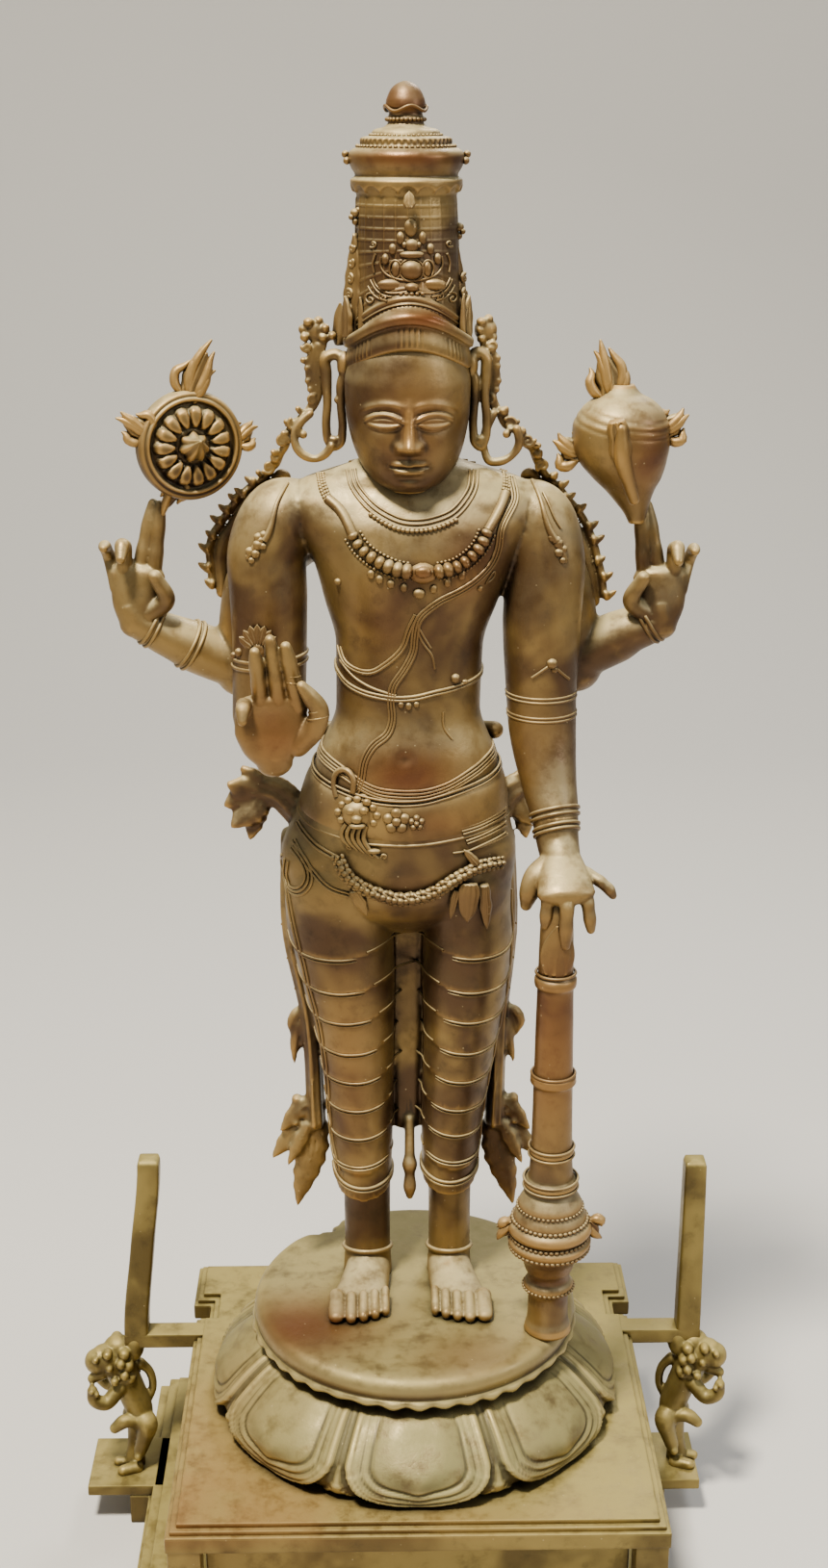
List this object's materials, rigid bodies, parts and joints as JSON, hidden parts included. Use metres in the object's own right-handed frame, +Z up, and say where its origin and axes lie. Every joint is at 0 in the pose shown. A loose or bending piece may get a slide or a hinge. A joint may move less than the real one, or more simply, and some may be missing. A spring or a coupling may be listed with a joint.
{
  "type": "vishnu figure",
  "caption": "Standing four-armed Vishnu in cast bronze on a round lotus seat, on a square stepped pedestal with side posts and lion brackets.",
  "frame": {"origin": "middle of the whole object's bounding box at the pedestal's underside", "axes": "+Z up, the figure faces -Y, +X is the figure's left side"},
  "size_m": [0.4032, 0.298, 0.8633],
  "materials": {
    "figure_bronze": "lost-wax cast copper alloy, olive-brown patina with worn reddish highlights, satin",
    "pedestal_bronze": "lost-wax cast copper alloy, dusty olive-gold patina, satin"
  },
  "bodies": {
    "root": {"vishnu_on_lotus": "figure_bronze", "pedestal": "pedestal_bronze"}
  },
  "joints": []
}
